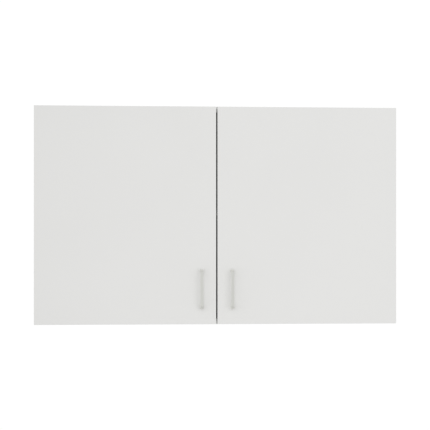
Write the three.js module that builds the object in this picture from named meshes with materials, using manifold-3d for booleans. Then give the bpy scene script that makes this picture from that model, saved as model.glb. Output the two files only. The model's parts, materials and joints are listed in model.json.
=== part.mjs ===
// A hanging wall cabinet of white coated board, with two doors on concealed hinges.
// Millimetres, +Z up. The wall is the plane y = 0, and the front looks along -Y. The origin
// is in the wall plane, midway between the two wall plates, at the height of the edges that
// the hanger hooks bear on.
import * as THREE from "three";
import { mergeVertices } from "three/addons/utils/BufferGeometryUtils.js";
import Module from "manifold-3d";

const wasm = await Module();
wasm.setup();

// ---- Driving dimensions ----

// Carcass
const WIDTH = 1000;
const HEIGHT = 600;
const DEPTH = 320;
const BOARD = 16;
const TOP = 45;
const BOTTOM = TOP - HEIGHT;
const HALF = WIDTH / 2;
const INNER_TOP = TOP - BOARD;
const INNER_BOTTOM = BOTTOM + BOARD;

// Back panel, in a groove all round
const BACK_THICK = 3;
const BACK_RECESS = 18;
const GROOVE_DEEP = 8;
const GROOVE_PLAY = 0.25;
const HOOK_CUT_WIDE = 22;
const HOOK_CUT_HIGH = 43;

// Rows of holes in the side panels
const HOLE_PITCH = 32;
const HOLE_LINE = 37;
const HOLE_RADIUS = 2.5;
const HOLE_DEEP = 10;
const REAR_HOLE_LINE = HOLE_LINE + 7 * HOLE_PITCH;
const HOLES_EACH_WAY = 3;

// Shelf and its pins
const SHELF_END_PLAY = 2;
const SHELF_SETBACK = 20;
const SHELF_REAR_PLAY = 1;
const SHELF_UNDERSIDE = BOTTOM + HEIGHT / 2;
const PIN_AXIS = SHELF_UNDERSIDE - HOLE_RADIUS;
const PIN_STEM_RADIUS = 2.25;
const PIN_COLLAR_RADIUS = 3.5;
const PIN_COLLAR_THICK = 1.5;
const PIN_REACH = 9;
const PIN_END_PLAY = 1;

// Cam locks in the ends of the top and bottom panels
const CAM_FROM_END = 34;
const CAM_RADIUS = 7.25;
const CAM_POCKET_RADIUS = 7.75;
const CAM_HIGH = 12;
const CAM_POCKET_DEEP = 12.5;
const CAM_SLOT_LONG = 9;
const CAM_SLOT_WIDE = 2;
const CAM_SLOT_DEEP = 4;

// Cabinet hangers and wall plates
const BRACKET_WIDE = 18;
const BRACKET_FRONT = 258;
const BRACKET_REAR = 298;
const BRACKET_LOW = -12;
const BRACKET_HIGH = 20;
const BRACKET_FOOT_LOW = -32;
const BRACKET_FOOT_HIGH = 27;
const BRACKET_FOOT_THICK = 2;
const BRACKET_FOOT_IN = 6;
const BRACKET_WALL = 4;
const HOOK_PLAY = 0.5;
const HOOK_THICK = 3;
const HOOK_WIDE = 12;
const HOOK_TIP_DROP = 9;
const HOOK_FRONT = BRACKET_FRONT + BRACKET_WALL + 2 * HOOK_PLAY;
const HOOK_EASE = 1;
const WALL_PLATE_WIDE = 60;
const WALL_PLATE_THICK = 2;
const WALL_PLATE_LOW = -34;
const LIP_STAND = 4;
const LIP_LOW = -10;
const LIP_SLOPE = 4;
const LIP_BEND = 1;
const WALL_PLATE_IN = 2;
const WALL_HOLE_RADIUS = 2.75;
const WALL_HOLE_FROM_END = 15;
const WALL_HOLE_FROM_LOW = 9;

// Doors
const DOOR_THICK = 16;
const DOOR_GAP = 2;
const DOOR_REVEAL = 1.5;
const DOOR_LOW = BOTTOM + DOOR_REVEAL;
const DOOR_HIGH = TOP - DOOR_REVEAL;
const DOOR_TO_MIDDLE = 2;
const DOOR_FREE_EDGE = HALF - DOOR_TO_MIDDLE;

// Bow handles
const HANDLE_LINE = 40;
const HANDLE_HOLES = 96;
const HANDLE_LOW_HOLE = 48;
const HANDLE_LONG = 108;
const HANDLE_WIDE = 8;
const HANDLE_FOOT_WIDE = 6.5;
const HANDLE_REACH = 26;
const HANDLE_GRIP_THICK = 5;
const HANDLE_LEG_THICK = 10;
const HANDLE_OUTER_ROUND = 10;
const HANDLE_INNER_ROUND = 5;
const HANDLE_THREAD_DEEP = 10;
const SCREW_SHANK_RADIUS = 1.75;
const SCREW_CLEAR_RADIUS = 2.5;
const SCREW_THREAD_CLEAR = 2.1;
const SCREW_HEAD_RADIUS = 4;
const SCREW_HEAD_THICK = 2;
const SCREW_REACH = 8;

// Bumpers on the doors
const BUMPER_RADIUS = 4;
const BUMPER_THICK = 1.5;
const BUMPER_IN = 14;

// Concealed hinges: plan places are from the carcass's outer side face and front edge
const HINGE_HEIGHTS = { upper: BOTTOM + 500, lower: BOTTOM + 100 };
const CUP_X = 24;
const CUP_RADIUS = 17.5;
const CUP_WALL = 1;
const CUP_DEEP = 11.5;
const CUP_PIN_LOW = 10.5;
const CUP_NOTCH_HALF = 6.5;
const CUP_NOTCH_X = 9;
const CUP_NOTCH_LOW = -7;
const CUP_BORE_RADIUS = 17.75;
const CUP_BORE_DEEP = 12;
const FLANGE_RADIUS = 19.5;
const FLANGE_THICK = 1;
const WING_HALF = 31;
const WING_NEAR_X = 22;
const WING_FAR_X = 40;
const ARM_PIN_SHORT = new THREE.Vector2(32.25, -2.5);
const ARM_PIN_LONG = new THREE.Vector2(38, 3);
const CUP_PIN_SHORT = new THREE.Vector2(11, -9.5);
const CUP_PIN_LONG = new THREE.Vector2(12, -4.5);
const BEND_SHORT = new THREE.Vector2(23, -11);
const BEND_LONG = new THREE.Vector2(24, -4.5);
const HINGE_PIN_RADIUS = 1;
const EYE_HOLE_RADIUS = 1.3;
const EYE_RADIUS = 2.5;
const CUP_EYE_RADIUS = 2;
const LINK_HALF = 1.25;
const LINK_LOW = 0.25;
const LINK_HIGH = 5.75;
const OPEN_PIN_STAND = 1;
const CHEEK_NEAR = 6.25;
const CHEEK_FAR = 7.5;
const CHEEK_NOSE_RADIUS = 3;
const PLATE_THICK = 2;
const PLATE_HALF_HIGH = 26;
const PLATE_HALF_WIDE = 10;
const SPINE_HALF_HIGH = 5.5;
const SPINE_FRONT = 22;
const SPINE_REAR = 58;
const SPINE_TOP = 24.5;
const SETTING_HOLE_RADIUS = 2.5;
const SETTING_HOLE_Y = 48;
const SETTING_HOLE_FLOOR = 3;
const ARM_WEB_THICK = 2;
const ARM_WEB_FRONT = 15;
const ARM_REAR = 60;
const CHEEK_STEP = new THREE.Vector2(20, 26);
const CHEEK_THROAT = new THREE.Vector2(24, 12);
const CHEEK_NOSE_END = 1;
const CHEEK_TOP_FRONT = 19;

// Sides of round shapes, and how far a cutter runs past the face that it opens
const ROUND = 24;
const PIN_SIDES = 16;
const HOLE_SIDES = 12;
const CUP_SIDES = 32;
const PLAN_ARC_STEPS = 6;
const BOW_ARC_STEPS = 8;
const PAST = 1;

// ---- Materials ----

const coatedBoard = new THREE.MeshStandardMaterial({ color: 0xeeeeec, roughness: 0.5, metalness: 0 });
const hardboard = new THREE.MeshStandardMaterial({ color: 0xe6e4df, roughness: 0.7, metalness: 0 });
const platedSteel = new THREE.MeshStandardMaterial({ color: 0xc2c3c6, roughness: 0.3, metalness: 1 });
const zincSteel = new THREE.MeshStandardMaterial({ color: 0xa9adb2, roughness: 0.45, metalness: 1 });
const satinMetal = new THREE.MeshStandardMaterial({ color: 0xcfd0cb, roughness: 0.4, metalness: 0.6 });
const castZinc = new THREE.MeshStandardMaterial({ color: 0x9fa1a3, roughness: 0.5, metalness: 1 });
const clearRubber = new THREE.MeshStandardMaterial({ color: 0xdfe3e4, roughness: 0.35, metalness: 0 });

// ---- Solids for joining and cutting ----

function solid(geometry) {
  const bare = geometry.clone();
  bare.deleteAttribute("normal");
  bare.deleteAttribute("uv");
  const merged = mergeVertices(bare, 1e-4);
  return new wasm.Manifold(
    new wasm.Mesh({
      numProp: 3,
      vertProperties: merged.attributes.position.array,
      triVerts: new Uint32Array(merged.index.array),
    }),
  );
}

function geometryOf(body) {
  const shell = body.getMesh();
  const geometry = new THREE.BufferGeometry();
  geometry.setAttribute("position", new THREE.BufferAttribute(shell.vertProperties, 3));
  geometry.setIndex(new THREE.BufferAttribute(shell.triVerts, 1));
  const faceted = geometry.toNonIndexed();
  faceted.computeVertexNormals();
  return faceted;
}

// A block between two corners.
function block(x0, x1, y0, y1, z0, z1) {
  const geometry = new THREE.BoxGeometry(x1 - x0, y1 - y0, z1 - z0);
  geometry.translate((x0 + x1) / 2, (y0 + y1) / 2, (z0 + z1) / 2);
  return solid(geometry);
}

// Round bars along X, Y and Z, from one end to the other, with the axis at the two places given.
function barX(radius, x0, x1, y, z, sides = ROUND) {
  const geometry = new THREE.CylinderGeometry(radius, radius, x1 - x0, sides);
  geometry.rotateZ(Math.PI / 2);
  geometry.translate((x0 + x1) / 2, y, z);
  return solid(geometry);
}

function barY(radius, y0, y1, x, z, sides = ROUND) {
  const geometry = new THREE.CylinderGeometry(radius, radius, y1 - y0, sides);
  geometry.translate(x, (y0 + y1) / 2, z);
  return solid(geometry);
}

function barZ(radius, z0, z1, x, y, sides = ROUND) {
  const geometry = new THREE.CylinderGeometry(radius, radius, z1 - z0, sides);
  geometry.rotateX(Math.PI / 2);
  geometry.translate(x, y, (z0 + z1) / 2);
  return solid(geometry);
}

// A plan outline (x, y) raised from z0 to z1.
function raise(shape, z0, z1) {
  const settings = { depth: z1 - z0, bevelEnabled: false, curveSegments: PLAN_ARC_STEPS };
  const geometry = new THREE.ExtrudeGeometry(shape, settings);
  geometry.translate(0, 0, z0);
  return solid(geometry);
}

// A side outline (y, z) drawn out from x0 to x1.
function drawOutX(shape, x0, x1) {
  const settings = { depth: x1 - x0, bevelEnabled: false, curveSegments: BOW_ARC_STEPS };
  const geometry = new THREE.ExtrudeGeometry(shape, settings);
  geometry.rotateX(Math.PI / 2);
  geometry.rotateZ(Math.PI / 2);
  geometry.translate(x0, 0, 0);
  return solid(geometry);
}

function outline(points) {
  return new THREE.Shape(points.map(([a, b]) => new THREE.Vector2(a, b)));
}

function joined(first, ...others) {
  return others.reduce((body, other) => body.add(other), first);
}

function cut(first, ...others) {
  return others.reduce((body, other) => body.subtract(other), first);
}

function piece(name, body, material) {
  const mesh = new THREE.Mesh(geometryOf(body), material);
  mesh.name = name;
  return mesh;
}

// ---- Carcass pieces that run the whole width ----

// The groove's places, front to back, measured from the wall plane.
const GROOVE_FRONT = -BACK_RECESS - BACK_THICK - GROOVE_PLAY;
const GROOVE_REAR = -BACK_RECESS + GROOVE_PLAY;

// The four places, left and right by front and rear, of the cam locks in one end panel.
const CAM_LINES = { front: -DEPTH + HOLE_LINE, rear: -DEPTH + REAR_HOLE_LINE };
const CAM_X = HALF - BOARD - CAM_FROM_END;

function endPanel(name, z0, groove, pocket) {
  const inside = HALF - BOARD;
  const pockets = [-CAM_X, CAM_X].flatMap((x) =>
    Object.values(CAM_LINES).map((y) => barZ(CAM_POCKET_RADIUS, pocket.low, pocket.high, x, y)),
  );
  const board = cut(
    block(-inside, inside, -DEPTH, 0, z0, z0 + BOARD),
    block(-HALF, HALF, GROOVE_FRONT, GROOVE_REAR, groove.low, groove.high),
    ...pockets,
  );
  return piece(name, board, coatedBoard);
}

function topPanel() {
  return endPanel(
    "top_panel",
    INNER_TOP,
    { low: INNER_TOP - PAST, high: INNER_TOP + GROOVE_DEEP },
    { low: TOP - CAM_POCKET_DEEP, high: TOP + PAST },
  );
}

function bottomPanel() {
  return endPanel(
    "bottom_panel",
    BOTTOM,
    { low: INNER_BOTTOM - GROOVE_DEEP, high: INNER_BOTTOM + PAST },
    { low: BOTTOM - PAST, high: BOTTOM + CAM_POCKET_DEEP },
  );
}

// A thin sheet whose two upper corners are cut away for the hanger hooks.
function backPanel() {
  const play = 2 * GROOVE_PLAY;
  const x = HALF - BOARD + GROOVE_DEEP - play;
  const low = INNER_BOTTOM - GROOVE_DEEP + play;
  const high = INNER_TOP + GROOVE_DEEP - play;
  const front = -BACK_RECESS - BACK_THICK;
  const cutX = HALF - BOARD - HOOK_CUT_WIDE;
  const cutLow = INNER_TOP - HOOK_CUT_HIGH;
  const sheet = cut(
    block(-x, x, front, -BACK_RECESS, low, high),
    block(-HALF, -cutX, front - PAST, 0, cutLow, TOP),
    block(cutX, HALF, front - PAST, 0, cutLow, TOP),
  );
  return piece("back_panel", sheet, hardboard);
}

function shelf() {
  const x = HALF - BOARD - SHELF_END_PLAY;
  const rear = -BACK_RECESS - BACK_THICK - SHELF_REAR_PLAY;
  const board = block(-x, x, -DEPTH + SHELF_SETBACK, rear, SHELF_UNDERSIDE, SHELF_UNDERSIDE + BOARD);
  return piece("shelf", board, coatedBoard);
}

// ---- Pieces of one side ----
// They are made for the left side, with x from the carcass's outer side face towards the
// middle and y from the carcass's front edge towards the wall. The right side mirrors them.

function sidePanel(side) {
  const holes = [];
  for (const y of [HOLE_LINE, REAR_HOLE_LINE]) {
    for (let step = -HOLES_EACH_WAY; step <= HOLES_EACH_WAY; step += 1) {
      const z = PIN_AXIS + step * HOLE_PITCH;
      holes.push(barX(HOLE_RADIUS, BOARD - HOLE_DEEP, BOARD + PAST, y, z, HOLE_SIDES));
    }
  }
  for (const height of Object.values(HINGE_HEIGHTS)) {
    for (const z of [height - HOLE_PITCH / 2, height + HOLE_PITCH / 2]) {
      holes.push(barX(HOLE_RADIUS, BOARD - HOLE_DEEP, BOARD + PAST, HOLE_LINE, z, HOLE_SIDES));
    }
  }
  const groove = block(
    BOARD - GROOVE_DEEP, BOARD + PAST,
    DEPTH + GROOVE_FRONT, DEPTH + GROOVE_REAR,
    BOTTOM - PAST, TOP + PAST,
  );
  const board = cut(block(0, BOARD, 0, DEPTH, BOTTOM, TOP), groove, ...holes);
  return piece(`${side}_side_panel`, board, coatedBoard);
}

function shelfPin(side, place, y) {
  const stemEnd = BOARD - HOLE_DEEP + PIN_END_PLAY;
  const pin = joined(
    barX(PIN_STEM_RADIUS, stemEnd, BOARD + PIN_COLLAR_THICK, y, PIN_AXIS, PIN_SIDES),
    barX(PIN_COLLAR_RADIUS, BOARD, BOARD + PIN_COLLAR_THICK, y, PIN_AXIS),
    barX(HOLE_RADIUS, BOARD, BOARD + PIN_REACH, y, PIN_AXIS),
  );
  return piece(`shelf_pin_${side}_${place}`, pin, platedSteel);
}

// A drum with a crossed slot in its outer face, which the screwdriver turns.
function camLock(side, place, line, level) {
  const up = level === "top" ? 1 : -1;
  const sunk = CAM_POCKET_DEEP - CAM_HIGH;
  const face = level === "top" ? TOP - sunk : BOTTOM + sunk;
  const floor = face - up * CAM_HIGH;
  const x = HALF - CAM_X;
  const y = DEPTH + line;
  const long = CAM_SLOT_LONG / 2;
  const wide = CAM_SLOT_WIDE / 2;
  const slotEnds = [face - up * CAM_SLOT_DEEP, face + up * PAST];
  const slotLow = Math.min(...slotEnds);
  const slotHigh = Math.max(...slotEnds);
  const drum = cut(
    barZ(CAM_RADIUS, Math.min(face, floor), Math.max(face, floor), x, y),
    block(x - long, x + long, y - wide, y + wide, slotLow, slotHigh),
    block(x - wide, x + wide, y - long, y + long, slotLow, slotHigh),
  );
  return piece(`cam_lock_${level}_${side}_${place}`, drum, castZinc);
}

// The hanger's casing, screwed to the side panel in the upper rear corner. Its tunnel is
// closed at the front and open at the rear, where the hook comes out.
function hangerBracket(side) {
  const hookNear = BOARD + (BRACKET_WIDE - HOOK_WIDE) / 2;
  const casing = joined(
    block(BOARD, BOARD + BRACKET_WIDE, BRACKET_FRONT, BRACKET_REAR, BRACKET_LOW, BRACKET_HIGH),
    block(
      BOARD, BOARD + BRACKET_FOOT_THICK,
      BRACKET_FRONT + BRACKET_FOOT_IN, BRACKET_REAR - BRACKET_FOOT_IN,
      BRACKET_FOOT_LOW, BRACKET_FOOT_HIGH,
    ),
  );
  const tunnel = block(
    hookNear - HOOK_PLAY, hookNear + HOOK_WIDE + HOOK_PLAY,
    BRACKET_FRONT + BRACKET_WALL, BRACKET_REAR + PAST,
    -HOOK_PLAY, HOOK_THICK,
  );
  return piece(`hanger_bracket_${side}`, cut(casing, tunnel), zincSteel);
}

// A bent steel strip: its upper face carries the casing, and its turned-down tip drops
// behind the lip of the wall plate.
function hangerHook(side) {
  const near = BOARD + (BRACKET_WIDE - HOOK_WIDE) / 2;
  const rear = DEPTH - HOOK_PLAY;
  const tip = rear - HOOK_THICK;
  const profile = outline([
    [HOOK_FRONT, 0],
    [tip, 0],
    [tip, -HOOK_TIP_DROP],
    [rear, -HOOK_TIP_DROP],
    [rear, HOOK_THICK - HOOK_EASE],
    [rear - HOOK_EASE, HOOK_THICK],
    [HOOK_FRONT, HOOK_THICK],
  ]);
  return piece(`hanger_hook_${side}`, drawOutX(profile, near, near + HOOK_WIDE), zincSteel);
}

// A steel plate whose upper part steps away from the wall, so the hook can drop behind it.
function wallPlate(side) {
  const near = BOARD + WALL_PLATE_IN;
  const wall = DEPTH;
  const face = wall - WALL_PLATE_THICK;
  const lipRear = wall - LIP_STAND;
  const lipFront = lipRear - WALL_PLATE_THICK;
  const profile = outline([
    [wall, WALL_PLATE_LOW],
    [wall, LIP_LOW - LIP_SLOPE],
    [lipRear, LIP_LOW],
    [lipRear, 0],
    [lipFront, 0],
    [lipFront, LIP_LOW - LIP_BEND],
    [face, LIP_LOW - LIP_SLOPE - LIP_BEND],
    [face, WALL_PLATE_LOW],
  ]);
  const holes = [near + WALL_HOLE_FROM_END, near + WALL_PLATE_WIDE - WALL_HOLE_FROM_END].map((x) =>
    barY(WALL_HOLE_RADIUS, face - PAST, wall + PAST, x, WALL_PLATE_LOW + WALL_HOLE_FROM_LOW, PIN_SIDES),
  );
  const plate = cut(drawOutX(profile, near, near + WALL_PLATE_WIDE), ...holes);
  return piece(`wall_plate_${side}`, plate, zincSteel);
}

// ---- Hinge pieces, for one hinge at the height z ----

// A plate with round ends, and the spine that the arm clips over.
function hingePlate(side, level, z) {
  const roundAt = PLATE_HALF_HIGH - PLATE_HALF_WIDE;
  const plate = joined(
    block(
      BOARD, BOARD + PLATE_THICK,
      HOLE_LINE - PLATE_HALF_WIDE, HOLE_LINE + PLATE_HALF_WIDE,
      z - roundAt, z + roundAt,
    ),
    barX(PLATE_HALF_WIDE, BOARD, BOARD + PLATE_THICK, HOLE_LINE, z - roundAt),
    barX(PLATE_HALF_WIDE, BOARD, BOARD + PLATE_THICK, HOLE_LINE, z + roundAt),
    block(BOARD, SPINE_TOP, SPINE_FRONT, SPINE_REAR, z - SPINE_HALF_HIGH, z + SPINE_HALF_HIGH),
  );
  const settingHole = barX(
    SETTING_HOLE_RADIUS, BOARD + SETTING_HOLE_FLOOR, SPINE_TOP + PAST, SETTING_HOLE_Y, z, PIN_SIDES,
  );
  return piece(`hinge_plate_${side}_${level}`, cut(plate, settingHole), platedSteel);
}

// The side outline of the arm's two cheeks, with a round nose at each arm pin.
function cheekOutline() {
  const nose = CHEEK_NOSE_RADIUS;
  const along = ARM_PIN_LONG.clone().sub(ARM_PIN_SHORT);
  const tangent = along.angle() - Math.PI / 2;
  const shape = new THREE.Shape();
  shape.moveTo(CHEEK_STEP.x, ARM_REAR);
  shape.lineTo(CHEEK_STEP.x, CHEEK_STEP.y);
  shape.lineTo(CHEEK_THROAT.x, CHEEK_THROAT.y);
  shape.absarc(ARM_PIN_SHORT.x, ARM_PIN_SHORT.y, nose, Math.PI, 2 * Math.PI + tangent, false);
  shape.absarc(ARM_PIN_LONG.x, ARM_PIN_LONG.y, nose, tangent, CHEEK_NOSE_END, false);
  shape.lineTo(SPINE_TOP + ARM_WEB_THICK, CHEEK_TOP_FRONT);
  shape.lineTo(SPINE_TOP + ARM_WEB_THICK, ARM_REAR);
  shape.closePath();
  return shape;
}

// A channel that clips over the plate's spine. Its cheeks reach forward to carry two pins:
// the short link's in the lower half of the hinge, the long link's in the upper half.
function hingeArm(side, level, z) {
  const cheeks = cheekOutline();
  const arm = joined(
    block(
      SPINE_TOP, SPINE_TOP + ARM_WEB_THICK,
      ARM_WEB_FRONT, ARM_REAR,
      z - CHEEK_FAR, z + CHEEK_FAR,
    ),
    raise(cheeks, z + CHEEK_NEAR, z + CHEEK_FAR),
    raise(cheeks, z - CHEEK_FAR, z - CHEEK_NEAR),
    barZ(HINGE_PIN_RADIUS, z - CHEEK_FAR, z, ARM_PIN_SHORT.x, ARM_PIN_SHORT.y, PIN_SIDES),
    barZ(HINGE_PIN_RADIUS, z, z + CHEEK_FAR, ARM_PIN_LONG.x, ARM_PIN_LONG.y, PIN_SIDES),
  );
  return piece(`hinge_arm_${side}_${level}`, arm, platedSteel);
}

// The round cup, let into the door, with a flange and two wings, and the pin of the short
// link. The flange stops short of the hinge side, and the rim is notched there, where the
// links fold over it as the door opens.
function hingeCup(side, level, z) {
  const back = -DOOR_GAP;
  const hollow = CUP_RADIUS - CUP_WALL;
  const flange = joined(
    barY(FLANGE_RADIUS, back, back + FLANGE_THICK, CUP_X, z, CUP_SIDES),
    block(WING_NEAR_X, WING_FAR_X, back, back + FLANGE_THICK, z - WING_HALF, z + WING_HALF),
  );
  const hingeSide = block(0, WING_NEAR_X, back, 0, z - WING_HALF, z + WING_HALF);
  const outside = joined(
    barY(CUP_RADIUS, back - CUP_DEEP, back, CUP_X, z, CUP_SIDES),
    cut(flange, hingeSide),
  );
  const notch = block(0, CUP_NOTCH_X, CUP_NOTCH_LOW, 0, z - CUP_NOTCH_HALF, z + CUP_NOTCH_HALF);
  const floor = back - CUP_DEEP + CUP_WALL;
  const inside = barY(hollow, floor, back + FLANGE_THICK + PAST, CUP_X, z, CUP_SIDES);
  const cup = joined(
    cut(outside, inside, notch),
    barZ(HINGE_PIN_RADIUS, z - CUP_PIN_LOW, z, CUP_PIN_SHORT.x, CUP_PIN_SHORT.y, PIN_SIDES),
  );
  return piece(`hinge_cup_${side}_${level}`, cup, platedSteel);
}

// A straight bar of a link, between two points of its middle line.
function linkBar(from, to, z0, z1) {
  const along = to.clone().sub(from).normalize();
  const across = new THREE.Vector2(-along.y, along.x).multiplyScalar(LINK_HALF);
  const corners = [
    from.clone().add(across),
    from.clone().sub(across),
    to.clone().sub(across),
    to.clone().add(across),
  ];
  return raise(new THREE.Shape(corners), z0, z1);
}

// A bent bar with an eye at each end. The bend lets it reach over the cup's rim.
function bentLink(armPin, bend, cupPin, z0, z1) {
  return joined(
    linkBar(armPin, bend, z0, z1),
    linkBar(bend, cupPin, z0, z1),
    barZ(LINK_HALF, z0, z1, bend.x, bend.y, PIN_SIDES),
    barZ(EYE_RADIUS, z0, z1, armPin.x, armPin.y, PIN_SIDES),
    barZ(CUP_EYE_RADIUS, z0, z1, cupPin.x, cupPin.y, PIN_SIDES),
  );
}

// The short link, with a hole for the arm's pin and one for the cup's pin.
function shortLink(side, level, z) {
  const low = z - LINK_HIGH;
  const high = z - LINK_LOW;
  const bar = bentLink(ARM_PIN_SHORT, BEND_SHORT, CUP_PIN_SHORT, low, high);
  const holes = [ARM_PIN_SHORT, CUP_PIN_SHORT].map((pin) =>
    barZ(EYE_HOLE_RADIUS, low - PAST, high + PAST, pin.x, pin.y, PIN_SIDES),
  );
  return piece(`hinge_short_link_${side}_${level}`, cut(bar, ...holes), platedSteel);
}

// The long link, with a hole for the arm's pin. Its cup end is the open pivot, and carries
// its own pin, whose ends stay clear of the cup.
function longLink(side, level, z) {
  const low = z + LINK_LOW;
  const high = z + LINK_HIGH;
  const bar = joined(
    bentLink(ARM_PIN_LONG, BEND_LONG, CUP_PIN_LONG, low, high),
    barZ(HINGE_PIN_RADIUS, low, high + OPEN_PIN_STAND, CUP_PIN_LONG.x, CUP_PIN_LONG.y, PIN_SIDES),
  );
  const hole = barZ(EYE_HOLE_RADIUS, low - PAST, high + PAST, ARM_PIN_LONG.x, ARM_PIN_LONG.y, PIN_SIDES);
  return piece(`hinge_long_link_${side}_${level}`, cut(bar, hole), platedSteel);
}

// ---- Door pieces ----

const HANDLE_X = DOOR_FREE_EDGE - HANDLE_LINE;
const HANDLE_HEIGHTS = {
  lower: DOOR_LOW + HANDLE_LOW_HOLE,
  upper: DOOR_LOW + HANDLE_LOW_HOLE + HANDLE_HOLES,
};
const DOOR_FRONT = -DOOR_GAP - DOOR_THICK;

function door(side) {
  const cups = Object.values(HINGE_HEIGHTS).map((z) =>
    barY(CUP_BORE_RADIUS, -DOOR_GAP - CUP_BORE_DEEP, 0, CUP_X, z, CUP_SIDES),
  );
  const screwHoles = Object.values(HANDLE_HEIGHTS).map((z) =>
    barY(SCREW_CLEAR_RADIUS, DOOR_FRONT - PAST, 0, HANDLE_X, z, PIN_SIDES),
  );
  const board = cut(
    block(DOOR_REVEAL, DOOR_FREE_EDGE, DOOR_FRONT, -DOOR_GAP, DOOR_LOW, DOOR_HIGH),
    ...cups,
    ...screwHoles,
  );
  return piece(`${side}_door`, board, coatedBoard);
}

// Outer and inner outlines of the bow, drawn in y and z from its lower end.
function bowOutline(low) {
  const face = DOOR_FRONT;
  const front = face - HANDLE_REACH;
  const high = low + HANDLE_LONG;
  const outer = HANDLE_OUTER_ROUND;
  const inner = HANDLE_INNER_ROUND;
  const gripRear = front + HANDLE_GRIP_THICK;
  const legLow = low + HANDLE_LEG_THICK;
  const legHigh = high - HANDLE_LEG_THICK;
  const shape = new THREE.Shape();
  shape.moveTo(face, low);
  shape.lineTo(face, legLow);
  shape.lineTo(gripRear + inner, legLow);
  shape.absarc(gripRear + inner, legLow + inner, inner, -Math.PI / 2, -Math.PI, true);
  shape.lineTo(gripRear, legHigh - inner);
  shape.absarc(gripRear + inner, legHigh - inner, inner, Math.PI, Math.PI / 2, true);
  shape.lineTo(face, legHigh);
  shape.lineTo(face, high);
  shape.lineTo(front + outer, high);
  shape.absarc(front + outer, high - outer, outer, Math.PI / 2, Math.PI, false);
  shape.lineTo(front, low + outer);
  shape.absarc(front + outer, low + outer, outer, Math.PI, 1.5 * Math.PI, false);
  shape.closePath();
  return shape;
}

// Seen from above, the bow keeps its width over the grip and narrows from there to the feet.
function bowPlan() {
  const front = DOOR_FRONT - HANDLE_REACH;
  const gripRear = front + HANDLE_GRIP_THICK;
  return outline([
    [HANDLE_X - HANDLE_WIDE / 2, front - PAST],
    [HANDLE_X + HANDLE_WIDE / 2, front - PAST],
    [HANDLE_X + HANDLE_WIDE / 2, gripRear],
    [HANDLE_X + HANDLE_FOOT_WIDE / 2, DOOR_FRONT],
    [HANDLE_X - HANDLE_FOOT_WIDE / 2, DOOR_FRONT],
    [HANDLE_X - HANDLE_WIDE / 2, gripRear],
  ]);
}

function handle(side) {
  const low = HANDLE_HEIGHTS.lower - (HANDLE_LONG - HANDLE_HOLES) / 2;
  const bar = drawOutX(bowOutline(low), HANDLE_X - HANDLE_WIDE / 2, HANDLE_X + HANDLE_WIDE / 2);
  const bow = bar.intersect(raise(bowPlan(), low - PAST, low + HANDLE_LONG + PAST));
  const threads = Object.values(HANDLE_HEIGHTS).map((z) =>
    barY(SCREW_THREAD_CLEAR, DOOR_FRONT - HANDLE_THREAD_DEEP, DOOR_FRONT + PAST, HANDLE_X, z, PIN_SIDES),
  );
  return piece(`handle_${side}`, cut(bow, ...threads), satinMetal);
}

function handleScrew(side, level, z) {
  const top = -DOOR_GAP + SCREW_HEAD_THICK;
  const screw = joined(
    barY(SCREW_SHANK_RADIUS, DOOR_FRONT - SCREW_REACH, top, HANDLE_X, z, PIN_SIDES),
    barY(SCREW_HEAD_RADIUS, -DOOR_GAP, top, HANDLE_X, z),
  );
  return piece(`handle_screw_${side}_${level}`, screw, platedSteel);
}

function bumper(side, level, z) {
  const x = DOOR_FREE_EDGE - BUMPER_IN;
  const pad = barY(BUMPER_RADIUS, -DOOR_GAP, -DOOR_GAP + BUMPER_THICK, x, z);
  return piece(`bumper_${side}_${level}`, pad, clearRubber);
}

// ---- Assembly ----

function hinge(side, level, z) {
  return [
    hingePlate(side, level, z),
    hingeArm(side, level, z),
    hingeCup(side, level, z),
    shortLink(side, level, z),
    longLink(side, level, z),
  ];
}

function sideGroup(side) {
  const group = new THREE.Group();
  group.add(sidePanel(side), hangerBracket(side), hangerHook(side), wallPlate(side));
  for (const [place, line] of Object.entries(CAM_LINES)) {
    group.add(shelfPin(side, place, DEPTH + line));
    group.add(camLock(side, place, line, "top"), camLock(side, place, line, "bottom"));
  }
  for (const [level, z] of Object.entries(HINGE_HEIGHTS)) group.add(...hinge(side, level, z));
  group.add(door(side), handle(side));
  for (const [level, z] of Object.entries(HANDLE_HEIGHTS)) group.add(handleScrew(side, level, z));
  group.add(bumper(side, "upper", TOP - BOARD / 2), bumper(side, "lower", BOTTOM + BOARD / 2));
  const mirrored = side === "right";
  group.scale.x = mirrored ? -1 : 1;
  group.position.set(mirrored ? HALF : -HALF, -DEPTH, 0);
  return group;
}

const cabinet = new THREE.Group();
cabinet.add(topPanel(), bottomPanel(), backPanel(), shelf());
cabinet.add(sideGroup("left"), sideGroup("right"));

export default cabinet;
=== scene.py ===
# %% [markdown]
# # A hanging wall cabinet, finished by hand
# The design of this cabinet comes ready: every board, hinge and handle is already in its
# place, in metres. This lesson gives it its looks. We put a camera and soft light round it,
# mix the finishes, and then go over the pieces one kind at a time, from the big coated
# boards down to the screws.
#
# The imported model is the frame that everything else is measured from, so it is loaded
# before anything is made.

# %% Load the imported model
import json
import math

import bmesh
import bpy
from mathutils import Matrix, Vector

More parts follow.
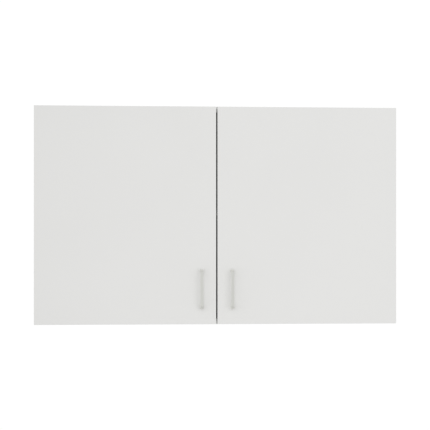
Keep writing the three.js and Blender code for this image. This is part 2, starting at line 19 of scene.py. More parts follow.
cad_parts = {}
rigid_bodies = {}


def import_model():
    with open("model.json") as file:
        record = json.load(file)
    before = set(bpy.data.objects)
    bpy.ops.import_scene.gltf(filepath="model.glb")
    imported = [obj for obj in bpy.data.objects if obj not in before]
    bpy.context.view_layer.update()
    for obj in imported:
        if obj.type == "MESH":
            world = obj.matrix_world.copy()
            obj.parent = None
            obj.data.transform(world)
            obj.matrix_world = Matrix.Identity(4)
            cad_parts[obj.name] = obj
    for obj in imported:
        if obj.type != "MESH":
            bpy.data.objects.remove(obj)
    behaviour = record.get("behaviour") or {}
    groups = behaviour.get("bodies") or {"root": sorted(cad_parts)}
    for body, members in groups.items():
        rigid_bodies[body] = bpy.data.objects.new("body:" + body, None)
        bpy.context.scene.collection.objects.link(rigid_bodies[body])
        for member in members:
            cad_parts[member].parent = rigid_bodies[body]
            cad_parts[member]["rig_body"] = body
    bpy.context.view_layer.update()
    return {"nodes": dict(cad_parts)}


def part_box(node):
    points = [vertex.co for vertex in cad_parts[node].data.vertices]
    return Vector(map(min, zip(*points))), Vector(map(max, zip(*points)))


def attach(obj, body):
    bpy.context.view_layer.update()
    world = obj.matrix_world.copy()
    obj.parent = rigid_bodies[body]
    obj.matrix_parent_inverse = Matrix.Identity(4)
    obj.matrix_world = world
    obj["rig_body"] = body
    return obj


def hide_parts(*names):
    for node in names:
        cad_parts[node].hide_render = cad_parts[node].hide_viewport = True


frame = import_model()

SIDES = ("left", "right")
LEVELS = ("upper", "lower")
PLACES = ("front", "rear")
MM = 0.001

carcass_low, carcass_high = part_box("left_side_panel")
MIDDLE_Z = (carcass_low.z + carcass_high.z) / 2
DOOR_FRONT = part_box("left_door")[0].y

# %% [markdown]
# ## The camera
# A wide, flat object keeps its proportions best when it is seen from some way off through a
# long lens. The camera stands a little to the left of the middle and turns slightly to the
# right, so the left end comes out a touch taller than the right one. It looks dead level:
# that keeps every upright edge upright. The small shift slides the picture up instead of
# tilting the camera, as an architect's camera does.

# %% Camera
LENS_MM = 100
SENSOR_MM = 36
YAW = math.radians(3.86)
REACH = 3.278
ASIDE = 0.0051
EYE_BELOW_MIDDLE = 0.070
SHIFT_UP = 0.0601

forward = Vector((math.sin(YAW), math.cos(YAW), 0))
right_hand = Vector((math.cos(YAW), -math.sin(YAW), 0))
eye = Vector((0, DOOR_FRONT, MIDDLE_Z - EYE_BELOW_MIDDLE)) - REACH * forward - ASIDE * right_hand

camera = bpy.data.objects.new("camera", bpy.data.cameras.new("camera"))
bpy.context.scene.collection.objects.link(camera)
camera.data.lens = LENS_MM
camera.data.sensor_width = SENSOR_MM
camera.data.shift_y = SHIFT_UP
camera.location = eye
camera.rotation_euler = (math.pi / 2, 0, -YAW)
bpy.context.scene.camera = camera
print("camera at", [round(v, 3) for v in eye])

# %% [markdown]
# ## Light and floor
# White furniture is judged by tiny steps of tone, and hard lamps would drown them. So the
# light is almost all sky: an even white dome, as in a tent of diffusing cloth. Corners and
# gaps then darken by themselves, because they see less of the dome. One large, weak panel in
# front of the right door adds the slow drift of tone from the left end to the right end. It
# is left out of glossy reflections, so that the satin handles stay as even as under the dome.
#
# The panel stands to the right, so on its own it would push the handles' shade to their left.
# A haze of light from the upper left answers it: a sun lamp spread over eighty degrees, which
# has no edge of its own. With both, the shade lies nearly evenly on the two sides of a handle.
#
# The dome is brighter to the camera than to the furniture. In a real studio the background is
# lit separately for the same reason: it goes clean white while the cabinet keeps its own pale
# grey.

# %% Studio light
DOME_LIGHT = 0.61
BACKDROP_WHITE = 1.02
PANEL_WATTS = 14.8
PANEL_WIDE = 2.4
PANEL_TALL = 1.8
PANEL_PLACE = Vector((0.45, -2.6, MIDDLE_Z))
HAZE_STRENGTH = 0.28
HAZE_WIDTH = math.radians(80)
HAZE_TRAVEL = Vector((0.75, 1.0, -0.3))

scene = bpy.context.scene
scene.view_settings.view_transform = "Standard"
scene.view_settings.look = "None"

world = bpy.data.worlds.new("studio_dome")
scene.world = world
world.use_nodes = True
dome_nodes = world.node_tree.nodes
dome_links = world.node_tree.links
dome_nodes.clear()
dome = dome_nodes.new("ShaderNodeBackground")
dome.inputs["Color"].default_value = (1.0, 1.0, 0.995, 1)
dome.inputs["Strength"].default_value = DOME_LIGHT
backdrop = dome_nodes.new("ShaderNodeBackground")
backdrop.inputs["Color"].default_value = (1, 1, 1, 1)
backdrop.inputs["Strength"].default_value = BACKDROP_WHITE
seen = dome_nodes.new("ShaderNodeLightPath")
either = dome_nodes.new("ShaderNodeMixShader")
out = dome_nodes.new("ShaderNodeOutputWorld")
dome_links.new(seen.outputs["Is Camera Ray"], either.inputs["Fac"])
dome_links.new(dome.outputs[0], either.inputs[1])
dome_links.new(backdrop.outputs[0], either.inputs[2])
dome_links.new(either.outputs[0], out.inputs["Surface"])

panel_light = bpy.data.lights.new("soft_panel", "AREA")
panel_light.shape = "RECTANGLE"
panel_light.size = PANEL_WIDE
panel_light.size_y = PANEL_TALL
panel_light.energy = PANEL_WATTS
panel = bpy.data.objects.new("soft_panel", panel_light)
scene.collection.objects.link(panel)
panel.location = PANEL_PLACE
panel.visible_glossy = False
straight_at_doors = Vector((PANEL_PLACE.x, DOOR_FRONT, PANEL_PLACE.z)) - PANEL_PLACE
panel.rotation_euler = straight_at_doors.to_track_quat("-Z", "Y").to_euler()

haze_light = bpy.data.lights.new("soft_haze", "SUN")
haze_light.energy = HAZE_STRENGTH
haze_light.angle = HAZE_WIDTH
haze = bpy.data.objects.new("soft_haze", haze_light)
scene.collection.objects.link(haze)
haze.rotation_euler = HAZE_TRAVEL.to_track_quat("-Z", "Y").to_euler()
print("dome", DOME_LIGHT, "panel", PANEL_WATTS, "W", "haze", HAZE_STRENGTH)

# %% [markdown]
# ## Mixing finishes
# Every finish is built from the same few nodes. Object coordinates are used throughout: they
# are metres in the cabinet's own frame, so a grain of half a millimetre is half a millimetre
# on every piece, and a door takes its pattern along when it swings. The helpers only save
# typing: one gives a material with its shader, one the coordinates, and one a noise at a
# wanted grain size. Two more turn that noise into a range of roughness or of colour, and the
# last one makes a bump. A noise seldom leaves the stretch from 0.3 to 0.7, so that stretch is
# spread over the whole range.

# %% Material helpers
NOISE_LOW = 0.3
NOISE_HIGH = 0.7


def material(name, colour, roughness, metallic=0.0):
    made = bpy.data.materials.new(name)
    made.use_nodes = True
    shader = made.node_tree.nodes["Principled BSDF"]
    shader.inputs["Base Color"].default_value = (*colour, 1)
    shader.inputs["Roughness"].default_value = roughness
    shader.inputs["Metallic"].default_value = metallic
    made.diffuse_color = (*colour, 1)
    return made, made.node_tree.nodes, made.node_tree.links, shader


def place(nodes, links, stretch=(1, 1, 1)):
    """Object coordinates, stretched along an axis by a small factor there."""
    coordinates = nodes.new("ShaderNodeTexCoord")
    mapping = nodes.new("ShaderNodeMapping")
    mapping.inputs["Scale"].default_value = stretch
    links.new(coordinates.outputs["Object"], mapping.inputs["Vector"])
    return mapping.outputs["Vector"]


def grain(nodes, links, where, size, detail=2.0, rough=0.5):
    """Noise whose lumps are about size metres across."""
    noise = nodes.new("ShaderNodeTexNoise")
    noise.inputs["Scale"].default_value = 1 / size
    noise.inputs["Detail"].default_value = detail
    noise.inputs["Roughness"].default_value = rough
    links.new(where, noise.inputs["Vector"])
    return noise.outputs["Fac"]


def spread(nodes, links, value, low, high):
    """A noise spread between low and high."""
    ranged = nodes.new("ShaderNodeMapRange")
    ranged.inputs["From Min"].default_value = NOISE_LOW
    ranged.inputs["From Max"].default_value = NOISE_HIGH
    ranged.inputs["To Min"].default_value = low
    ranged.inputs["To Max"].default_value = high
    links.new(value, ranged.inputs["Value"])
    return ranged.outputs["Result"]


def shades(nodes, links, value, stops):
    """A ramp of colours over the value."""
    ramp = nodes.new("ShaderNodeValToRGB")
    elements = ramp.color_ramp.elements
    elements[0].position, elements[0].color = stops[0][0], (*stops[0][1], 1)
    elements[1].position, elements[1].color = stops[-1][0], (*stops[-1][1], 1)
    for position, colour in stops[1:-1]:
        elements.new(position).color = (*colour, 1)
    links.new(value, ramp.inputs["Fac"])
    return ramp.outputs["Color"]


def relief(nodes, links, height, depth, shader):
    """A bump of the given depth in metres."""
    bump = nodes.new("ShaderNodeBump")
    bump.inputs["Strength"].default_value = 1
    bump.inputs["Distance"].default_value = depth
    links.new(height, bump.inputs["Height"])
    links.new(bump.outputs["Normal"], shader.inputs["Normal"])


# %% [markdown]
# ## White coated board
# The boards are particle board under a hard white paper-and-resin skin. The skin is pressed
# against a steel plate with a pearl texture: lumps of about half a millimetre and only a few
# hundredths of a millimetre high, which is what makes it look satin and not glassy. It could
# be painted as one flat white, but then a large door would look like a paper cut-out. Two
# noises do the work here: a fine one for the pearl, and a broad, very faint one that lets the
# tone and the gloss wander by a percent or so, as on any real sheet.

# %% White board and its edge band
WHITE = (0.868, 0.866, 0.856)
BAND_WHITE = (0.93, 0.93, 0.92)
WANDER = 0.986
WANDER_SIZE = 0.35
RESIN_IOR = 1.47


def white_skin(name, rough_low, rough_high, pearl_size, pearl_depth, white=WHITE):
    made, nodes, links, shader = material(name, white, 0.45)
    where = place(nodes, links)
    broad = grain(nodes, links, where, WANDER_SIZE, 3.0)
    dim = tuple(channel * WANDER for channel in white)
    tone = shades(nodes, links, broad, [(0.35, dim), (0.65, white)])
    links.new(tone, shader.inputs["Base Color"])
    pearl = grain(nodes, links, where, pearl_size, 2.0, 0.6)
    roughness = spread(nodes, links, pearl, rough_low, rough_high)
    links.new(roughness, shader.inputs["Roughness"])
    relief(nodes, links, pearl, pearl_depth, shader)
    shader.inputs["IOR"].default_value = RESIN_IOR
    return made


white_board = white_skin("white_pearl_skin", 0.42, 0.52, pearl_size=0.6 * MM, pearl_depth=0.03 * MM)
edge_band = white_skin("white_edge_band", 0.34, 0.42, pearl_size=1.2 * MM, pearl_depth=0.01 * MM,
                       white=BAND_WHITE)
print("white skin", WHITE)

# %% [markdown]
# ## Raw particle board
# Where the board is drilled, grooved or left unbanded, its wood particles show: straw-coloured
# flakes about a millimetre across, with darker ones of bark among them. A noise would only
# give clouds. A Voronoi texture gives separate flakes, each with its own tone, and the
# distance from the middle of a flake gives it a slight dish. It is only ever seen on narrow
# edges and inside holes, but it is what tells the eye that this is board and not plastic.

# %% Particle board
STRAW = (0.62, 0.46, 0.28)
BARK = (0.30, 0.19, 0.10)
PALE_FLAKE = (0.78, 0.63, 0.43)
FLAKE = 1.2 * MM
FLAKE_DEPTH = 0.3 * MM

particle_board, nodes, links, shader = material("particle_board", STRAW, 0.85)
where = place(nodes, links)
flakes = nodes.new("ShaderNodeTexVoronoi")
flakes.inputs["Scale"].default_value = 1 / FLAKE
links.new(where, flakes.inputs["Vector"])
split = nodes.new("ShaderNodeSeparateColor")
links.new(flakes.outputs["Color"], split.inputs["Color"])
flake_tone = shades(nodes, links, split.outputs["Red"], [(0.0, BARK), (0.35, STRAW), (1.0, PALE_FLAKE)])
links.new(flake_tone, shader.inputs["Base Color"])
relief(nodes, links, flakes.outputs["Distance"], FLAKE_DEPTH, shader)
print("flakes of", round(FLAKE / MM, 1), "mm")

# %% [markdown]
# ## Hardboard back
# The back is a thin pressed-fibre sheet: lacquered white on the side that faces into the
# cabinet, and raw brown behind. The white side gets a softer, slightly warmer lacquer than
# the boards, with a faint orange peel. The brown side has the fine felted look of pressed
# fibre, so its noise is stretched a little and has many finer layers.

# %% Hardboard, front and rear
LACQUER = (0.80, 0.79, 0.765)
LACQUER_DIM = (0.785, 0.775, 0.75)
FIBRE_DARK = (0.25, 0.14, 0.07)
FIBRE_PALE = (0.42, 0.26, 0.145)
LACQUER_GRAIN = 1.5 * MM
LACQUER_RELIEF = 0.04 * MM
CLOUD_SIZE = 120 * MM
FIBRE_SIZE = 2.2 * MM
FIBRE_DEPTH = 0.1 * MM

back_lacquer, nodes, links, shader = material("hardboard_lacquer", LACQUER, 0.6)
where = place(nodes, links)
peel = grain(nodes, links, where, LACQUER_GRAIN, 4.0)
links.new(spread(nodes, links, peel, 0.55, 0.68), shader.inputs["Roughness"])
cloudy = grain(nodes, links, where, CLOUD_SIZE, 2.0)
lacquer_tone = shades(nodes, links, cloudy, [(0.35, LACQUER_DIM), (0.65, LACQUER)])
links.new(lacquer_tone, shader.inputs["Base Color"])
relief(nodes, links, peel, LACQUER_RELIEF, shader)

back_fibre, nodes, links, shader = material("hardboard_fibre", FIBRE_PALE, 0.8)
where = place(nodes, links, (1, 1, 0.6))
fibres = grain(nodes, links, where, FIBRE_SIZE, 6.0, 0.7)
fibre_tone = shades(nodes, links, fibres, [(NOISE_LOW, FIBRE_DARK), (NOISE_HIGH, FIBRE_PALE)])
links.new(fibre_tone, shader.inputs["Base Color"])
relief(nodes, links, fibres, FIBRE_DEPTH, shader)
print("lacquer grain", round(LACQUER_GRAIN / MM, 1), "mm, fibres", round(FIBRE_SIZE / MM, 1), "mm")

# %% [markdown]
# ## Metals
# Four metals meet in a cabinet like this. The handles are satin: a fine brushing along their
# length and a pale, slightly warm grey. The hinges are pressed steel with a bright nickel
# coat, which is nearly mirror-like but never quite even. The hangers are zinc-plated, with
# the dull mottling that zinc has, and the cam locks are die-cast and duller still. All are
# fully metallic, so their colour is the colour of their reflections, and it is mostly the
# roughness and its texture that tell them apart. The brushing is a fine noise, drawn out along
# the bar.

# %% Metal finishes
def metal(name, colour, rough_low, rough_high, size, depth, shift, stretch=(1, 1, 1)):
    made, nodes, links, shader = material(name, colour, rough_low, 1.0)
    where = place(nodes, links, stretch)
    lines = grain(nodes, links, where, size, 4.0, 0.6)
    links.new(spread(nodes, links, lines, rough_low, rough_high), shader.inputs["Roughness"])
    darker = tuple(channel * (1 - shift) for channel in colour)
    tone = shades(nodes, links, lines, [(NOISE_LOW, darker), (NOISE_HIGH, colour)])
    links.new(tone, shader.inputs["Base Color"])
    relief(nodes, links, lines, depth, shader)
    return made


satin_metal = metal("satin_handle", (0.925, 0.93, 0.89), 0.42, 0.55,
                    size=0.3 * MM, depth=0.01 * MM, shift=0.04, stretch=(1, 1, 0.02))
bright_nickel = metal("bright_nickel", (0.74, 0.73, 0.70), 0.16, 0.28,
                      size=4 * MM, depth=0.01 * MM, shift=0.03)
dull_zinc = metal("zinc_plate", (0.62, 0.64, 0.66), 0.32, 0.52,
                  size=3 * MM, depth=0.02 * MM, shift=0.18)
cast_grey = metal("cast_zinc", (0.50, 0.50, 0.51), 0.45, 0.65,
                  size=0.8 * MM, depth=0.03 * MM, shift=0.12)
print("metals:", ", ".join(made.name for made in (satin_metal, bright_nickel, dull_zinc, cast_grey)))

# %% [markdown]
# ## Clear bumpers
# The little stick-on bumpers are clear polyurethane, softer and duller than glass. A part of
# the light goes through and the rest comes back off a faintly uneven dome.

# %% Clear polyurethane
CLEARNESS = 0.75
POLYURETHANE_IOR = 1.45
RIPPLE_SIZE = 2 * MM
RIPPLE_DEPTH = 0.02 * MM

clear_soft, nodes, links, shader = material("clear_bumper", (0.86, 0.88, 0.88), 0.2)
shader.inputs["Transmission Weight"].default_value = CLEARNESS
shader.inputs["IOR"].default_value = POLYURETHANE_IOR
where = place(nodes, links)
ripple = grain(nodes, links, where, RIPPLE_SIZE, 2.0)
links.new(spread(nodes, links, ripple, 0.14, 0.26), shader.inputs["Roughness"])
relief(nodes, links, ripple, RIPPLE_DEPTH, shader)
print("bumpers let", CLEARNESS, "of the light in")

# %% [markdown]
# ## The floor
# The cabinet hangs, so the floor is far below it: a plain pale plane, only there to send a
# little light back up, and to give the high views some ground. It lies lower than under a
# real wall cabinet, so that the underside can be looked at from below as well.

# %% Floor
FLOOR_DROP = 3.2
FLOOR_SIZE = 4.0
FLOOR_PALE = (0.91, 0.91, 0.90)
FLOOR_DIM = (0.89, 0.89, 0.88)
SCREED_SIZE = 0.9

pale_floor, nodes, links, shader = material("pale_floor", FLOOR_PALE, 0.8)
where = place(nodes, links)
screed = grain(nodes, links, where, SCREED_SIZE, 2.0)
screed_tone = shades(nodes, links, screed, [(NOISE_LOW, FLOOR_DIM), (NOISE_HIGH, FLOOR_PALE)])
links.new(screed_tone, shader.inputs["Base Color"])

floor_mesh = bpy.data.meshes.new("floor")
bm = bmesh.new()
bmesh.ops.create_grid(bm, x_segments=1, y_segments=1, size=FLOOR_SIZE)
bmesh.ops.translate(bm, verts=bm.verts, vec=(0, -0.5, carcass_low.z - FLOOR_DROP))
bm.to_mesh(floor_mesh)
bm.free()
floor = bpy.data.objects.new("floor", floor_mesh)
floor_mesh.materials.append(pale_floor)
scene.collection.objects.link(floor)
print("floor at", round(carcass_low.z - FLOOR_DROP, 2), "m")

# %% [markdown]
# ## Turning a design solid into a finished piece
# A design solid has knife-sharp edges, and nothing in a workshop has. The eye finds a real
# edge by the thin line of light along its rounding, so each solid is copied, its loose
# triangles are welded, its flat faces are joined again, and its sharp edges are rounded by a
# fraction of a millimetre. A Bevel modifier could do it too. Here the bevel is made on the
# mesh itself, because faces that come from drilling can be given another material first.
#
# After rounding, a Weighted Normal modifier keeps the large faces looking flat and puts all
# the turning of the light into the small roundings.

# %% Copy, weld, round
WELD_WITHIN = 0.002 * MM
FLAT_WITHIN = math.radians(0.5)
CREASE = math.radians(50)


def weld(node):
    """A welded copy of a design solid, with its flat faces joined."""
    bm = bmesh.new()
    bm.from_mesh(frame["nodes"][node].data)
    bmesh.ops.remove_doubles(bm, verts=bm.verts, dist=WELD_WITHIN)
    bmesh.ops.dissolve_limit(bm, angle_limit=FLAT_WITHIN, verts=bm.verts, edges=bm.edges)
    return bm


def round_edges(bm, width, segments=2, steeper=35):
    """Rounds every edge that turns by more than the angle."""
    turn = math.radians(steeper)
    sharp = [e for e in bm.edges if len(e.link_faces) == 2 and e.calc_face_angle() > turn]
    bmesh.ops.bevel(bm, geom=sharp, offset=width, offset_type="OFFSET", segments=segments,
                    profile=0.5, affect="EDGES", clamp_overlap=True, material=-1)


def finished(bm, name, body, finishes):
    """Puts the bmesh in the scene as a piece of the cabinet."""
    mesh = bpy.data.meshes.new(name)
    bm.to_mesh(mesh)
    bm.free()
    for finish in finishes:
        mesh.materials.append(finish)
    mesh.shade_smooth()
    mesh.set_sharp_from_angle(angle=CREASE)
    piece = bpy.data.objects.new(name, mesh)
    scene.collection.objects.link(piece)
    weighted = piece.modifiers.new("even_light", "WEIGHTED_NORMAL")
    weighted.keep_sharp = True
    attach(piece, body)
    return piece


def body_of(node):
    return frame["nodes"][node]["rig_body"]


def eased(node, finish, width, segments=2):
    """A finished piece with rounded edges, in place of a design solid."""
    bm = weld(node)
    round_edges(bm, width, segments)
    piece = finished(bm, node + "_finished", body_of(node), [finish])
    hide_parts(node)
    return piece


# %% [markdown]
# ## The boards
# Each board is a core with two coated faces and strips of plastic band ironed onto the edges
# that show. The band is a piece of its own, 0.8 mm thick, so the core is trimmed by as much
# on the banded sides. That way the board keeps its exact size. Everything the saw and the
# drill laid open, such as grooves, rows of holes, hinge cups and the rear edges, is raw
# particle board.
#
# A face of the core counts as coated when it lies in one of the board's two large planes. To
# tell them apart, the thinnest of the board's three sizes gives the direction of its faces.
# The skin is carried round the eased edges too, so that no brown line shows beside a band.

# %% Cores of the boards
BAND = 0.8 * MM
FLUSH = 0.01 * MM
BOARD_EASE = 0.15 * MM
CORNER = math.radians(60)
SQUARE_ON = 0.99
AXES = "xyz"


def trim(bm, low, high, banded):
    """Moves the core's banded sides inwards by the thickness of the band."""
    for side in banded:
        axis = AXES.index(side[1])
        wall = high[axis] if side[0] == "+" else low[axis]
        inwards = -BAND if side[0] == "+" else BAND
        for vertex in bm.verts:
            if abs(vertex.co[axis] - wall) < FLUSH:
                vertex.co[axis] += inwards


def core(node, banded):
    low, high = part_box(node)
    size = high - low
    thin = min(range(3), key=lambda axis: size[axis])
    bm = weld(node)
    trim(bm, low, high, banded)
    for face in bm.faces:
        middle = face.calc_center_median()[thin]
        outside = min(abs(middle - low[thin]), abs(middle - high[thin])) < FLUSH
        face.material_index = 0 if outside and abs(face.normal[thin]) > SQUARE_ON else 1
    corners = [e for e in bm.edges if len(e.link_faces) == 2 and e.calc_face_angle() > CORNER]
    skin_edges = [e for e in corners if any(f.material_index == 0 for f in e.link_faces)]
    bmesh.ops.bevel(bm, geom=skin_edges, offset=BOARD_EASE, offset_type="OFFSET", segments=1,
                    profile=0.5, affect="EDGES", clamp_overlap=True, material=0)
    piece = finished(bm, node + "_core", body_of(node), [white_board, particle_board])
    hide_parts(node)
    return piece


BANDED = {
    "left_side_panel": ["-y", "+z", "-z"],
    "right_side_panel": ["-y", "+z", "-z"],
    "top_panel": ["-y"],
    "bottom_panel": ["-y"],
    "shelf": ["-y"],
    "left_door": ["-x", "+x", "-z", "+z"],
    "right_door": ["-x", "+x", "-z", "+z"],
}
for node, banded in BANDED.items():
    piece = core(node, banded)
    raw = sum(1 for face in piece.data.polygons if face.material_index == 1)
    print(node, len(piece.data.polygons), "faces,", raw, "raw")

# %% [markdown]
# ## Edge bands
# A band is as wide as the board is thick, and its outer corners are scraped to a radius of
# about half a millimetre after gluing. Where two bands meet at a corner, the first one runs
# right through and the next one butts against it, so the first side in each list above takes
# the full length. Each band starts as a cube, is brought to size, and only its outer edges
# are rounded: the inner ones stay sharp against the core, which leaves the hairline joint
# that can be seen on any coated board.

# %% Bands
BAND_ROUND = 0.45 * MM


def band(node, side, others):
    low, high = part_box(node)
    for other in others:
        across = AXES.index(other[1])
        if other[0] == "+":
            high[across] -= BAND
        else:
            low[across] += BAND
    axis = AXES.index(side[1])
    if side[0] == "+":
        outer = high[axis]
        low[axis] = outer - BAND
    else:
        outer = low[axis]
        high[axis] = outer + BAND
    bm = bmesh.new()
    bmesh.ops.create_cube(bm, size=1)
    bmesh.ops.scale(bm, vec=high - low, verts=bm.verts)
    bmesh.ops.translate(bm, vec=(low + high) / 2, verts=bm.verts)
    rim = [e for e in bm.edges if all(abs(v.co[axis] - outer) < FLUSH for v in e.verts)]
    bmesh.ops.bevel(bm, geom=rim, offset=BAND_ROUND, offset_type="OFFSET", segments=3,
                    profile=0.5, affect="EDGES", clamp_overlap=True, material=-1)
    name = f"{node}_band_{'high' if side[0] == '+' else 'low'}_{side[1]}"
    return finished(bm, name, body_of(node), [edge_band])


for node, banded in BANDED.items():
    for turn, side in enumerate(banded):
        already_there = [s for s in banded[:turn] if s[1] != side[1]]
        band(node, side, already_there)
print(sum(len(banded) for banded in BANDED.values()), "bands")

# %% [markdown]
# ## The back sheet
# The back needs only its two finishes: white lacquer on the face that looks into the cabinet,
# brown fibre on the rear face and in the cut corners.

# %% Back sheet
SHEET_EASE = 0.2 * MM

bm = weld("back_panel")
for face in bm.faces:
    face.material_index = 0 if face.normal.y < -SQUARE_ON else 1
round_edges(bm, SHEET_EASE, 1, 60)
back = finished(bm, "back_sheet", "carcass", [back_lacquer, back_fibre])
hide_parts("back_panel")
print("back sheet", len(back.data.polygons), "faces")

# %% [markdown]
# ## Handles
# The handle is a slim bow: two feet on the door and one flat grip between them, turned in one
# sweep at each end. The feet narrow a little towards the door, and they sit flat on it. The
# section is a rectangle with well-rounded corners. So only the long edges get the wide
# rounding, and the two foot faces stay sharp against the door.

# %% Bow handles
BAR_ROUND = 1.6 * MM
BAR_CORNER = math.radians(35)


def bow(side):
    node = f"handle_{side}"
    bm = weld(node)
    door_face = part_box(node)[1].y
    flanks = [f for f in bm.faces if abs(f.normal.x) > SQUARE_ON]
    edges = {e for f in flanks for e in f.edges}
    turning = [e for e in edges if len(e.link_faces) == 2 and e.calc_face_angle() > BAR_CORNER]
    rims = [e for e in turning if min(v.co.y for v in e.verts) < door_face - FLUSH]
    bmesh.ops.bevel(bm, geom=rims, offset=BAR_ROUND, offset_type="OFFSET", segments=4,
                    profile=0.5, affect="EDGES", clamp_overlap=True, material=-1)
    piece = finished(bm, f"bow_handle_{side}", body_of(node), [satin_metal])
    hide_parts(node)
    return piece


for side in SIDES:
    print(side, "handle", len(bow(side).data.polygons), "faces")

# %% [markdown]
# ## Hinges, hangers, pins and cams
# The pressed-steel pieces keep their design shape and get a small rounding, as sheet metal has
# along a punched edge. Thin pieces get less, so that the rounding never eats through a wall.

# %% Pressed and cast pieces
HINGE_EASE = {
    "hinge_plate": 0.3 * MM,
    "hinge_arm": 0.25 * MM,
    "hinge_cup": 0.2 * MM,
    "hinge_short_link": 0.2 * MM,
    "hinge_long_link": 0.2 * MM,
}
PIN_EASE = 0.3 * MM
CAM_EASE = 0.25 * MM
BRACKET_EASE = 0.6 * MM
HOOK_EASE = 0.4 * MM

for side in SIDES:
    for level in LEVELS:
        for part, ease in HINGE_EASE.items():
            eased(f"{part}_{side}_{level}", bright_nickel, ease)
    for end in PLACES:
        eased(f"shelf_pin_{side}_{end}", bright_nickel, PIN_EASE)
        eased(f"cam_lock_top_{side}_{end}", cast_grey, CAM_EASE)
        eased(f"cam_lock_bottom_{side}_{end}", cast_grey, CAM_EASE)
    eased(f"hanger_bracket_{side}", dull_zinc, BRACKET_EASE, 3)
    eased(f"hanger_hook_{side}", dull_zinc, HOOK_EASE)
    eased(f"wall_plate_{side}", dull_zinc, HOOK_EASE)
print("hinge pieces:", ", ".join(HINGE_EASE))

# %% [markdown]
# ## Screws
# Small screws hold everything: a pan head with a crossed recess. The head could be a plain
# disc with a dark cross painted on it, but the recess is what catches the light when a door
# stands open. So the top is made as a flat ring between two loops: the round rim of the head
# and a cross in the middle. `triangle_fill` closes the surface between them, and then the
# cross is pulled down into the head and closed at its bottom.
#
# A screw is made pointing along +Z at the origin and then turned to face the way it is driven.
# The head rises in three steps, each a share of its height, and narrows at each of them. The
# sizes of the cross are shares too, of the head's radius and height.

# %% A crossed pan head
HEAD_SIDES = 24
HEAD_STEPS = ((0.55, 1.0), (0.30, 0.90), (0.15, 0.82))
CROSS_ARM = 0.52
CROSS_HALF_WIDE = 0.13
CROSS_DEEP = 0.6
CROSS_NARROWS = 0.8
QUARTER_TURNS = ((1, 0), (0, 1), (-1, 0), (0, -1))


def loop(bm, points):
    vertices = [bm.verts.new(point) for point in points]
    return [bm.edges.new((vertices[i - 1], vertices[i])) for i in range(len(vertices))]


def edges_in(result):
    return [item for item in result["geom"] if isinstance(item, bmesh.types.BMEdge)]


def verts_in(result):
    return [item for item in result["geom"] if isinstance(item, bmesh.types.BMVert)]


def crossed_head(radius, height):
    """A pan head with its flat underside at z = 0."""
    bm = bmesh.new()
    angles = [math.tau * i / HEAD_SIDES for i in range(HEAD_SIDES)]
    rim = loop(bm, [(radius * math.cos(a), radius * math.sin(a), 0) for a in angles])
    bmesh.ops.triangle_fill(bm, edges=rim, use_beauty=True)
    for rise, narrow in HEAD_STEPS:
        step = bmesh.ops.extrude_edge_only(bm, edges=rim)
        rim = edges_in(step)
        ring = verts_in(step)
        bmesh.ops.translate(bm, verts=ring, vec=(0, 0, rise * height))
        bmesh.ops.scale(bm, verts=ring, vec=(narrow, narrow, 1))
    arm = radius * CROSS_ARM
    half = radius * CROSS_HALF_WIDE
    cross = loop(bm, [
        (x * ca - y * sa, x * sa + y * ca, height)
        for ca, sa in QUARTER_TURNS
        for x, y in ((half, -half), (arm, -half), (arm, half))
    ])
    bmesh.ops.triangle_fill(bm, edges=rim + cross, use_beauty=True)
    sunk = bmesh.ops.extrude_edge_only(bm, edges=cross)
    bmesh.ops.translate(bm, verts=verts_in(sunk), vec=(0, 0, -CROSS_DEEP * height))
    bmesh.ops.scale(bm, verts=verts_in(sunk), vec=(CROSS_NARROWS, CROSS_NARROWS, 1))
    bmesh.ops.triangle_fill(bm, edges=edges_in(sunk), use_beauty=True)
    bmesh.ops.recalc_face_normals(bm, faces=bm.faces)
    return bm


def screw(name, at, facing, radius, height, body, finish=None, slot="plated_steel", turn=0.4):
    """A crossed head at a place on a surface, facing out of it."""
    bm = crossed_head(radius, height)
    upright = Vector((0, 0, 1)).rotation_difference(Vector(facing)).to_matrix()
    spun = Matrix.Rotation(turn, 3, "Z")
    bmesh.ops.transform(bm, matrix=(upright @ spun).to_4x4(), verts=bm.verts)
    bmesh.ops.translate(bm, vec=at, verts=bm.verts)
    return finished(bm, name, body, [finish or bright_nickel])


# %% [markdown]
# ## Where the screws go
# Two screws hold each hinge plate to the side panel, one above and one below the arm, on the
# line of the drilled holes. Two more hold the wings of each cup to the door. Each arm has its
# two setting screws, and each hanger has two at its front, which raise and draw in the
# cabinet once it hangs. All places are read from the boxes of the pieces they hold.
#
# A head is given by its radius and its height. Those on the plates stand out the most, and
# those on the wings of the cups are nearly flush. The crosses of two neighbours point
# different ways, as driven screws do, and `turn` is that angle.

# %% Screws of hinges and hangers
PLATE_THICK = 2 * MM
PLATE_SCREW_FORWARD = 3 * MM
PLATE_SCREW_OFF = 16 * MM
PLATE_HEAD = (3.4 * MM, 2.2 * MM)
ARM_RISE = 10.5 * MM
ARM_SCREWS = ((30 * MM, 2.6 * MM), (58 * MM, 3.0 * MM))
ARM_HEAD_HIGH = 1.4 * MM
WING_SCREW_IN = 6 * MM
WING_SCREW_OFF = 25.5 * MM
WING_HEAD = (3.4 * MM, 0.8 * MM)
HANGER_HEAD = (3.2 * MM, 1.2 * MM)
HANGER_SCREWS_UP = (0.42, 0.70)
ENDS = {"low": -1, "high": 1}

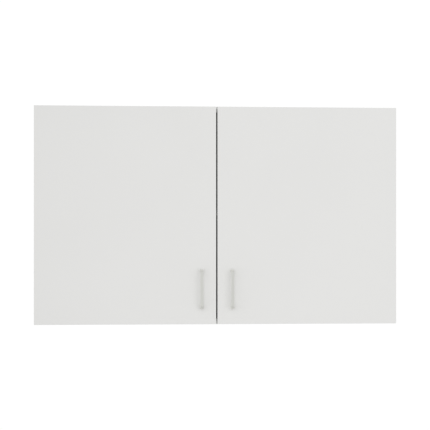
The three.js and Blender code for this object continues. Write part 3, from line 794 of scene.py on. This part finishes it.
for side in SIDES:
    inwards = 1 if side == "left" else -1
    for level in LEVELS:
        low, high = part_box(f"hinge_plate_{side}_{level}")
        middle = (low + high) / 2
        panel_face = low.x if side == "left" else high.x
        plate_face = panel_face + inwards * PLATE_THICK
        for end, way in ENDS.items():
            at = Vector((plate_face, middle.y - PLATE_SCREW_FORWARD, middle.z + way * PLATE_SCREW_OFF))
            screw(f"plate_screw_{side}_{level}_{end}", at, (inwards, 0, 0), *PLATE_HEAD,
                  "carcass", turn=0.4 + way)
        arm_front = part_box(f"hinge_arm_{side}_{level}")[0].y
        arm_face = panel_face + inwards * ARM_RISE
        for back, radius in ARM_SCREWS:
            at = Vector((arm_face, arm_front + back, middle.z))
            screw(f"arm_screw_{side}_{level}_{round(back / MM)}", at, (inwards, 0, 0), radius,
                  ARM_HEAD_HIGH, "carcass", turn=back * 30)
        cup_low, cup_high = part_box(f"hinge_cup_{side}_{level}")
        wing_edge = cup_high.x if side == "left" else cup_low.x
        for end, way in ENDS.items():
            wing_x = wing_edge - inwards * WING_SCREW_IN
            at = Vector((wing_x, cup_high.y, middle.z + way * WING_SCREW_OFF))
            screw(f"cup_screw_{side}_{level}_{end}", at, (0, 1, 0), *WING_HEAD,
                  f"{side}_door", turn=0.9 * way)
    low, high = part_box(f"hanger_bracket_{side}")
    for index, up in enumerate(HANGER_SCREWS_UP):
        at = Vector(((low.x + high.x) / 2, low.y, low.z + up * (high.z - low.z)))
        screw(f"hanger_screw_{side}_{index}", at, (0, -1, 0), *HANGER_HEAD, "carcass",
              dull_zinc, "zinc_steel", turn=index)
print("screws at", len(SIDES) * len(LEVELS), "hinges and", len(SIDES), "hangers")

# %% [markdown]
# ## Handle screws
# Each handle is held by two machine screws from inside the door. Their heads show when the
# door stands open. The shank is only seen in the gap of the drilled hole, so it is a plain
# round bar joined to the head.

# %% Handle screws
SHANK_RADIUS = 1.7 * MM

for side in SIDES:
    for level in LEVELS:
        node = f"handle_screw_{side}_{level}"
        low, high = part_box(node)
        middle = (low + high) / 2
        door_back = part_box(f"{side}_door")[1].y
        reach = door_back - low.y
        bm = crossed_head((high.x - low.x) / 2, high.y - door_back)
        shank = bmesh.ops.create_cone(bm, cap_ends=True, segments=16, radius1=SHANK_RADIUS,
                                      radius2=SHANK_RADIUS, depth=reach)
        bmesh.ops.translate(bm, verts=shank["verts"], vec=(0, 0, -reach / 2))
        backwards = Matrix.Rotation(-math.pi / 2, 3, "X")
        bmesh.ops.rotate(bm, verts=bm.verts, cent=(0, 0, 0), matrix=backwards)
        bmesh.ops.translate(bm, verts=bm.verts, vec=(middle.x, door_back, middle.z))
        piece = finished(bm, node + "_finished", f"{side}_door", [bright_nickel])
        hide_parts(node)
        print(node, "reaches", round(reach / MM, 1), "mm into the door and handle")

# %% [markdown]
# ## Bumpers
# A bumper is a flat dome. Its outline is half a section, from the middle of the dome out to
# the rim and back under it, and `spin` turns it once round. A full spin leaves a doubled seam
# unless it merges what it meets, so `use_merge` is set, and the poles are welded afterwards.

# %% Bumpers
DOME_OUTLINE = ((0, 1), (0.35, 1), (0.62, 0.90), (0.85, 0.62), (1, 0.2), (1, 0), (0, 0))

for side in SIDES:
    for level in LEVELS:
        node = f"bumper_{side}_{level}"
        low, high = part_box(node)
        radius = (high.x - low.x) / 2
        tall = high.y - low.y
        bm = bmesh.new()
        chain = [bm.verts.new((out * radius, up * tall, 0)) for out, up in DOME_OUTLINE]
        edges = [bm.edges.new(pair) for pair in zip(chain, chain[1:])]
        bmesh.ops.spin(bm, geom=chain + edges, axis=(0, 1, 0), cent=(0, 0, 0), angle=math.tau,
                       steps=28, use_merge=True)
        bmesh.ops.remove_doubles(bm, verts=bm.verts, dist=FLUSH)
        bmesh.ops.recalc_face_normals(bm, faces=bm.faces)
        middle = (low + high) / 2
        bmesh.ops.translate(bm, verts=bm.verts, vec=(middle.x, low.y, middle.z))
        piece = finished(bm, node + "_dome", f"{side}_door", [clear_soft])
        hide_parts(node)
        print(node, "stands", round(tall / MM, 1), "mm off the door")
